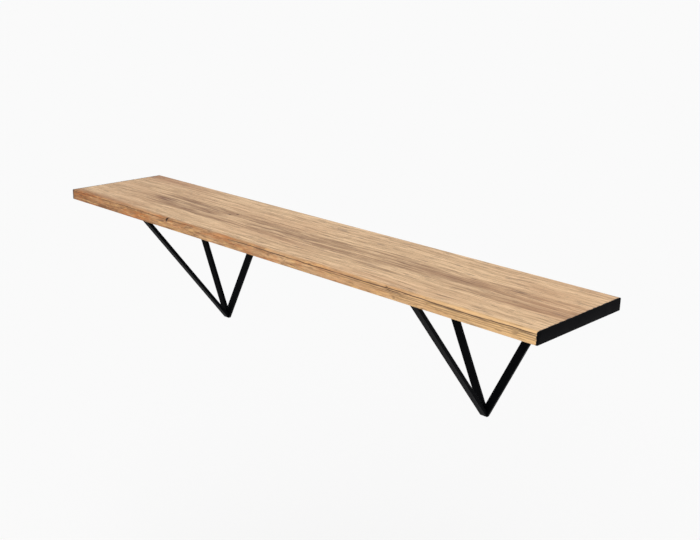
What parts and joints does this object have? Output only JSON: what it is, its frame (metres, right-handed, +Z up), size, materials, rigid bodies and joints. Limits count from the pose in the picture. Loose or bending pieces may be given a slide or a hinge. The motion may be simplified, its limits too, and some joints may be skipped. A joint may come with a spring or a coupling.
{
  "type": "wall shelf with brackets",
  "caption": "Long oak wall shelf with a rounded front arris and black ends, carried by welded flat-bar brackets: a V on the wall and a diagonal strut to the board's front edge.",
  "frame": {"origin": "middle of the board's back face, which lies on the wall", "axes": "+X along the shelf to the right as seen from the room, +Y into the wall, +Z up"},
  "size_m": [1.4, 0.27, 0.3309],
  "materials": {
    "oak": "matte oiled oak, brushed grain",
    "end_band": "satin black edge band",
    "powder_coated_steel": "fine-textured matte black powder coat",
    "zinc_plated_steel": "zinc plated"
  },
  "bodies": {
    "root": {"board": "oak", "left_end_band": "end_band", "right_end_band": "end_band", "left_wall_rail": "powder_coated_steel", "left_outer_wall_bar": "powder_coated_steel", "left_inner_wall_bar": "powder_coated_steel", "left_strut": "powder_coated_steel", "left_shelf_arm": "powder_coated_steel", "left_board_screws": "zinc_plated_steel", "left_weld_beads": "powder_coated_steel", "right_wall_rail": "powder_coated_steel", "right_outer_wall_bar": "powder_coated_steel", "right_inner_wall_bar": "powder_coated_steel", "right_strut": "powder_coated_steel", "right_shelf_arm": "powder_coated_steel", "right_board_screws": "zinc_plated_steel", "right_weld_beads": "powder_coated_steel"}
  },
  "joints": []
}
